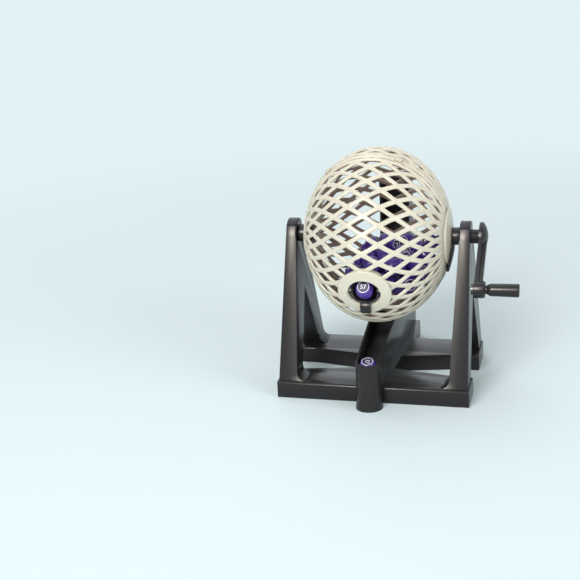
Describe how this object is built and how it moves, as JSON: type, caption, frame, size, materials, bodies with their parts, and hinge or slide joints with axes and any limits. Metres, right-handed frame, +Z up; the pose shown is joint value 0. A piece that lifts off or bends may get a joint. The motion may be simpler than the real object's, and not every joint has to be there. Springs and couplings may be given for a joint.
{
  "type": "bingo cage",
  "caption": "Table-top bingo cage: a round lattice cage on an axle between two A-shaped uprights, turned by a crank, with a gated ball port and a ball track to a front cup.",
  "frame": {"origin": "on the table plane, straight under the middle of the cage's axle", "axes": "+Z up, +X along the axle towards the crank, -Y towards the front cup"},
  "size_m": [0.2594, 0.2224, 0.262],
  "materials": {
    "black_plastic": "moulded, semi-gloss",
    "cream_plastic": "moulded, satin",
    "violet_plastic": "moulded, glossy",
    "steel": "plated"
  },
  "bodies": {
    "stand": {"base_frame": "black_plastic", "ball_track": "black_plastic", "rear_ball_guide": "black_plastic", "left_upright": "black_plastic", "right_upright": "black_plastic", "left_bearing_cap": "black_plastic", "right_bearing_cap": "black_plastic", "calling_balls": "violet_plastic"},
    "cage": {"cage_front_half": "cream_plastic", "cage_rear_half": "cream_plastic", "seam_clips": "cream_plastic", "left_hub_plate": "cream_plastic", "right_hub_plate": "cream_plastic", "left_axle": "black_plastic", "drive_spider": "black_plastic", "port_plate": "cream_plastic", "port_ball": "violet_plastic", "crank_arm": "black_plastic", "crank_screw": "steel", "grip_pin": "steel"},
    "grip": {"crank_grip": "black_plastic"},
    "gate": {"ball_gate": "black_plastic"},
    "ball": {"called_ball": "violet_plastic"}
  },
  "joints": [
    {"name": "cage_turn", "type": "hinge", "parent": "stand", "child": "cage", "pos_m": [0, 0, 0.167], "axis": [1, 0, 0], "continuous": true},
    {"name": "grip_turn", "type": "hinge", "parent": "cage", "child": "grip", "pos_m": [0.13785, -0.0572, 0.12842], "axis": [1, 0, 0], "continuous": true},
    {"name": "gate_swing", "type": "hinge", "parent": "cage", "child": "gate", "pos_m": [0, -0.08345, 0.13329], "axis": [-1, 0, 0], "range_deg": [0, 40]},
    {"name": "ball_lift", "type": "slide", "parent": "stand", "child": "ball", "axis": [0, 0, 1], "range_m": [0, 0.035]}
  ]
}
